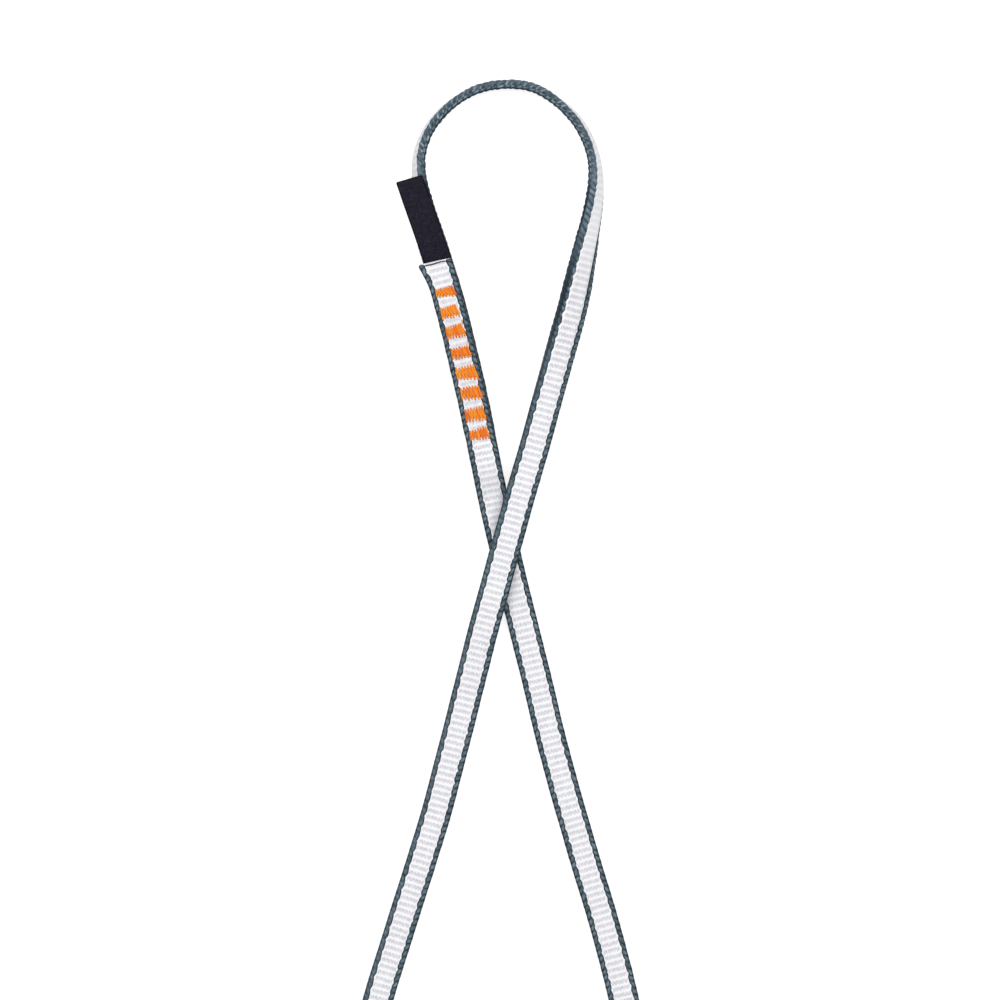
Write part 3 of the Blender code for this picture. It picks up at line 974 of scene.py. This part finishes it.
def buildEndPick():
    # the last slate weft, pushed over by the cut, as a thin dark line across the end
    at = clothEnd - pick["back"]
    middle, direction, across, outward = (v[0] for v in tapeFrames(at, stacked(np.array([at]))))
    shift = float(layerShift(np.array([at]))[0])
    reach = np.linspace(-pick["half"], pick["half"], pick["rings"])
    angle = np.arange(pick["sides"]) / pick["sides"] * 2 * math.pi
    share = reach / pick["half"]
    sag = pick["wave"] * np.sin(reach * 900) - pick["bow"] * share**2
    sag = sag - handMade["endSkew"] * (reach + shift)
    over = weave["fieldHalf"] + pick["proud"] - pick["droop"] * np.abs(share) ** 6
    points = middle + (reach + shift)[:, None] * across + sag[:, None] * direction
    points = points + over[:, None] * outward
    ring = pick["radius"] * (np.cos(angle)[:, None] * outward + np.sin(angle)[:, None] * direction)
    turns = np.append(angle, 2 * math.pi) / (2 * math.pi)
    return meshFromRings("slateEndPick", points[:, None] + ring[None], turns, reach / mm, slateFinish)


fieldPiece = buildField()
innerEdge = buildEdge("slateEdgeA", 1)
outerEdge = buildEdge("slateEdgeB", -1)
endPick = buildEndPick()
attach(endPick, "sling")
print("tape laid", round(float(tapeLength), 4))

# Bar tacks


def threadStock():
    # one straight length of thread, subdivided so that it can arch
    bpy.ops.mesh.primitive_cylinder_add(vertices=8, radius=1.0, depth=1.0, location=(0, 0, 0))
    stock = bpy.context.object
    bpy.ops.object.mode_set(mode="EDIT")
    bpy.ops.mesh.select_all(action="DESELECT")
    bpy.ops.object.mode_set(mode="OBJECT")
    for made in stock.data.edges:
        ends = [stock.data.vertices[v].co.z for v in made.vertices]
        made.select = abs(ends[0] - ends[1]) > 0.5
    bpy.ops.object.mode_set(mode="EDIT")
    bpy.ops.mesh.select_mode(type="EDGE")
    bpy.ops.mesh.subdivide(number_cuts=7)
    bpy.ops.object.mode_set(mode="OBJECT")
    bpy.ops.object.shade_smooth()
    return stock


def pointsOn(path, share):
    held = np.clip(share, 0, 1)
    knots = np.linspace(0, 1, len(path))
    return np.stack([np.interp(held, knots, path[:, k]) for k in range(3)], axis=1)


def layThread(stock, path, radius, tone):
    # a copy of the stock along a path of points
    made = stock.copy()
    made.data = stock.data.copy()
    bpy.context.scene.collection.objects.link(made)
    rest = np.array([v.co for v in made.data.vertices])
    share = np.clip(rest[:, 2] + 0.5, 0, 1)
    middle, ahead, behind = (pointsOn(path, share + step) for step in (0, 0.06, -0.06))
    forward = unit(ahead - behind)
    whole = path[-1] - path[0]
    sideways = unit(np.cross(np.cross(whole, up), whole))
    first = unit(np.cross(forward, sideways))
    second = np.cross(forward, first)
    placed = middle + radius * (rest[:, :1] * first + rest[:, 1:2] * second)
    made.data.vertices.foreach_set("co", placed.reshape(-1))
    storeMask(made, "threadShadeAndTone", [tone], len(rest))
    return made


def stitchPath(place, start, finish, height, sink):
    # from needle hole to needle hole, over the surface at a height
    middle, direction, across, outward = (v[0] for v in tapeFrames(place))
    share = np.linspace(0, 1, 13)[:, None]
    over = 1 - np.abs(2 * share - 1) ** 5
    flat = np.array(start) + (np.array(finish) - np.array(start)) * share
    lift = height - sink * (1 - over)
    return middle + flat[:, :1] * across + flat[:, 1:] * direction + lift * outward


def buildTack(stock, index, place):
    chance = np.random.default_rng(31 + index)
    trim = tack["trims"][index]
    width = coreWidth + tack["pastField"] - trim
    slant = math.tan(math.radians(tack["slants"][index]))
    above = np.array([place + loopLength])
    reach = weave["fieldHalf"] - handMade["press"]
    top = float(stacked(above)[0]) + reach
    shift = float(layerShift(above)[0]) - trim / 2 + tack["toRight"]
    half = tape["tackLength"] / 2 * tack["heights"][index]
    ahead = tack["ahead"] + tack["moves"][index]
    fan = chance.uniform(*tack["fan"])
    lowFan = chance.uniform(*tack["lowFan"])
    leastLean, mostLean = tack["shear"]
    over = tack["radius"] * 0.8
    threads = []
    for face, height in ((1, top + over), (-1, -reach - over)):
        for layer, count, radius, shares in (
            (0, tack["threads"] - 1, tack["underRadius"], tack["underShare"]),
            (1, tack["threads"], tack["radius"], 1.0),
        ):
            ends = []
            for k in range(count + 1):
                side = k / count
                x = (side - 0.5) * width + tack["stray"] * chance.uniform(-1, 1)
                far = half - tack["shorter"][1] + fan * side + tack["uneven"] * chance.uniform(-1, 1)
                near = half - tack["shorter"][0] + lowFan * side + tack["uneven"] * chance.uniform(-1, 1)
                lean = leastLean + (mostLean - leastLean) * side
                x -= shares * lean * (0.5 if k % 2 else -0.5) + 0.5 * (lean - leastLean)
                y = shares * (far if k % 2 else -near) - slant * x + ahead
                ends.append((x + shift, y))
            loose, onTop, sunk = tack["piled"]
            for k in range(count):
                lift = loose * chance.uniform(-1, 1) + layer * onTop + sunk
                path = stitchPath(place, ends[k], ends[k + 1], height + face * lift, tack["sink"])
                threads.append(layThread(stock, path, radius, chance.uniform(*tack["shadeAndTones"][layer])))
    if index in tack["jumps"]:
        # the needle's jump towards the next tack, half lost in the weave
        side = width / 2 + shift + trim / 2
        ends = [(side - inwards, -half - past) for inwards, past in (tack["jumpFrom"], tack["jumpTo"])]
        path = stitchPath(place, *ends, top + 0.00002, tack["sink"] / 2)
        threads.append(layThread(stock, path, tack["jumpRadius"], 0.2))
    bpy.ops.object.select_all(action="DESELECT")
    for made in threads:
        made.select_set(True)
    bpy.context.view_layer.objects.active = threads[0]
    bpy.ops.object.join()
    made = bpy.context.object
    made.name = f"barTack{index + 1}"
    made.data.name = made.name
    made.data.materials.clear()
    made.data.materials.append(orangeFinish)
    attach(made, "sling")
    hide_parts(f"bar_tack_{index + 1}")
    return made


stock = threadStock()
tacks = [buildTack(stock, i, place) for i, place in enumerate(tackPlaces)]
bpy.data.objects.remove(stock, do_unlink=True)
print("bar tacks sewn", len(tacks))

# Label

labelHeight = tape["thickness"] / 2 + tape["gap"] + tape["labelThickness"] / 2


def labelRoot():
    # place, direction, width direction and outward direction of the line where the flap begins
    return (v[0] for v in tapeFrames(tape["overlap"] + label["fold"], labelHeight))


def flapFrames(distances):
    # the flap rises over the standing edge of the tape, and its left side hangs lower
    start, direction, across, _ = labelRoot()
    start = start + label["shift"] * across
    share = distances / label["length"]
    turn = math.radians(label["turn"])
    turned = math.cos(turn) * direction + math.sin(turn) * np.cross(up, direction)
    quarter = share * math.pi / 2
    rise = label["rise"] * np.sin(quarter)
    slope = label["rise"] * np.cos(quarter) * math.pi / 2 / label["length"]
    middle = start + distances[:, None] * turned + rise[:, None] * up
    forward = unit(turned + slope[:, None] * up)
    side = unit(np.cross(forward, up))
    face = np.cross(side, forward)
    rootTilt = math.asin(across[2])
    tilt = (rootTilt + (math.radians(label["tilt"]) - rootTilt) * share)[:, None]
    cos, sin = np.cos(tilt), np.sin(tilt)
    return middle, cos * side + sin * face, cos * face - sin * side


def buildLabel():
    tailRings, flapRings = label["rings"]
    start, root = tape["overlap"] - tape["labelTail"], tape["overlap"] + label["fold"]
    tailAt = np.linspace(start, root - tape["labelThickness"], tailRings)
    flapAt = np.linspace(tape["labelThickness"], label["length"], flapRings)
    middle, _, across, outward = tapeFrames(tailAt, labelHeight)
    tail = (middle + label["shift"] * across, across, outward)
    middle, across, outward = (np.concatenate(pair) for pair in zip(tail, flapFrames(flapAt)))
    along = np.concatenate([tailAt - root, flapAt]) / mm
    half, thick = label["width"] / 2, tape["labelThickness"] / 2
    topX = half * np.linspace(1, -1, label["columns"])
    topY = np.full(label["columns"], thick)
    topY[[0, -1]] *= 0.8
    rimX = half * np.array([1.004, 0.985, 1.004])
    rimY = thick * np.array([0.4, 0, -0.4])
    xs = np.concatenate([topX, -rimX, -topX, rimX])
    ys = np.concatenate([topY, rimY, -topY, -rimY])
    share = np.clip(along / (label["length"] / mm), 0, 1)
    begun = smooth(share * 8)
    narrow = label["tailShare"] + (1 - label["tailShare"]) * between(along, -1.6, -0.4)
    closing = np.sqrt(np.clip((1 - share) * label["length"] / (1.6 * thick), 0, 1))
    size = 0.25 + 0.75 * closing
    bowl = label["bowl"] * np.sin(3.0 * xs / half)
    wave = label["wave"] * np.sin(along * 0.55)[:, None] * np.cos(2.2 * xs / half)
    height = ys * size[:, None] + (bowl + wave) * share[:, None]
    forward = np.cross(outward, across)
    aslant = (-label["skew"] * xs - label["trim"]) * begun[:, None]
    inset = (label["inset"] * (1 - 2 * share) * begun)[:, None]
    rounded = 1 - 0.06 * between(share, 0.985, 1.0)
    reach = xs * (narrow * rounded)[:, None] - inset * (1 + xs / half)
    points = moved(middle, (reach, across), (height, outward), (aslant, forward))
    uvAcross = np.append(xs, xs[0]) / mm
    return meshFromRings("bareLabel", points, uvAcross, along, labelFinish)


labelPiece = buildLabel()
labelHinge, labelDirection, _, _ = labelRoot()
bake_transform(labelPiece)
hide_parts("label_tail", "label_flap")
print("label made")

# Bodies, and points along the tape's middle line

runs = ["top_loop", "crossing_over", "left_side", "lower_bend", "right_side", "crossing_under"]
for piece, node, finishSlot in (
    (fieldPiece, "webbing_core", "white_yarn"),
    (innerEdge, "selvedge_inner", "slate_yarn"),
    (outerEdge, "selvedge_outer", "slate_yarn"),
):
    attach(piece, "sling")
    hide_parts(*[f"{node}_{run}" for run in runs])

pathAt = np.linspace(0.0, tapeLength, 420)
tapePath = tapeFrames(pathAt, stacked(pathAt))[0]

# Floor, light and world

studio = {
    "floorSize": 6.0,
    "floor": (0.55, 0.55, 0.55, 1),
    "rough": 0.9,
    "specular": 0.1,
    "lift": 0.70,
    "world": 0.55,
}


def addFloor():
    bpy.ops.mesh.primitive_plane_add(size=studio["floorSize"], location=(0, 0, -0.0001))
    floor = bpy.context.object
    floor.name = "studioFloor"
    made, tree = newMaterial("studioFloor")
    shader = tree.nodes["Principled BSDF"]
    shader.inputs["Base Color"].default_value = studio["floor"]
    shader.inputs["Roughness"].default_value = studio["rough"]
    shader.inputs["Specular IOR Level"].default_value = studio["specular"]
    glow = tree.nodes.new("ShaderNodeEmission")
    path = tree.nodes.new("ShaderNodeLightPath")
    rays = (path.outputs[f"Is {kind} Ray"] for kind in ("Camera", "Glossy", "Transmission"))
    seen = largest(tree, *rays)
    join(tree, calc(tree, "MULTIPLY", seen, studio["lift"]), glow.inputs["Strength"])
    both = tree.nodes.new("ShaderNodeAddShader")
    join(tree, shader.outputs[0], both.inputs[0])
    join(tree, glow.outputs[0], both.inputs[1])
    join(tree, both.outputs[0], tree.nodes["Material Output"].inputs["Surface"])
    floor.data.materials.append(made)


def addLamp(name, place, size, power):
    bpy.ops.object.light_add(type="AREA", location=place)
    lamp = bpy.context.object
    lamp.name = name
    lamp.data.shape = "DISK"
    lamp.data.size = size
    lamp.data.energy = power
    aim = np.array([0.0, 0.1, 0.0]) - np.array(place)
    tilt = math.acos(-aim[2] / np.linalg.norm(aim))
    lamp.rotation_euler = (tilt, 0.0, math.atan2(aim[1], aim[0]) - math.pi / 2)


def setWorld():
    world = bpy.data.worlds.new("studio")
    bpy.context.scene.world = world
    world.use_nodes = True
    tree = world.node_tree
    back = tree.nodes["Background"]
    back.inputs["Color"].default_value = (1, 1, 1, 1)
    path = tree.nodes.new("ShaderNodeLightPath")
    extra = calc(tree, "MULTIPLY", path.outputs["Is Camera Ray"], 1 - studio["world"])
    join(tree, calc(tree, "ADD", extra, studio["world"]), back.inputs["Strength"])


addFloor()
addLamp("leftLamp", (-0.8, 0.35, 1.3), 1.0, 7.1)
addLamp("rightLamp", (0.8, 0.25, 1.3), 1.0, 7.1)
addLamp("topLamp", (0.0, 0.6, 1.7), 0.8, 6.0)
setWorld()
bpy.context.scene.view_settings.view_transform = "Standard"
print("stage set")
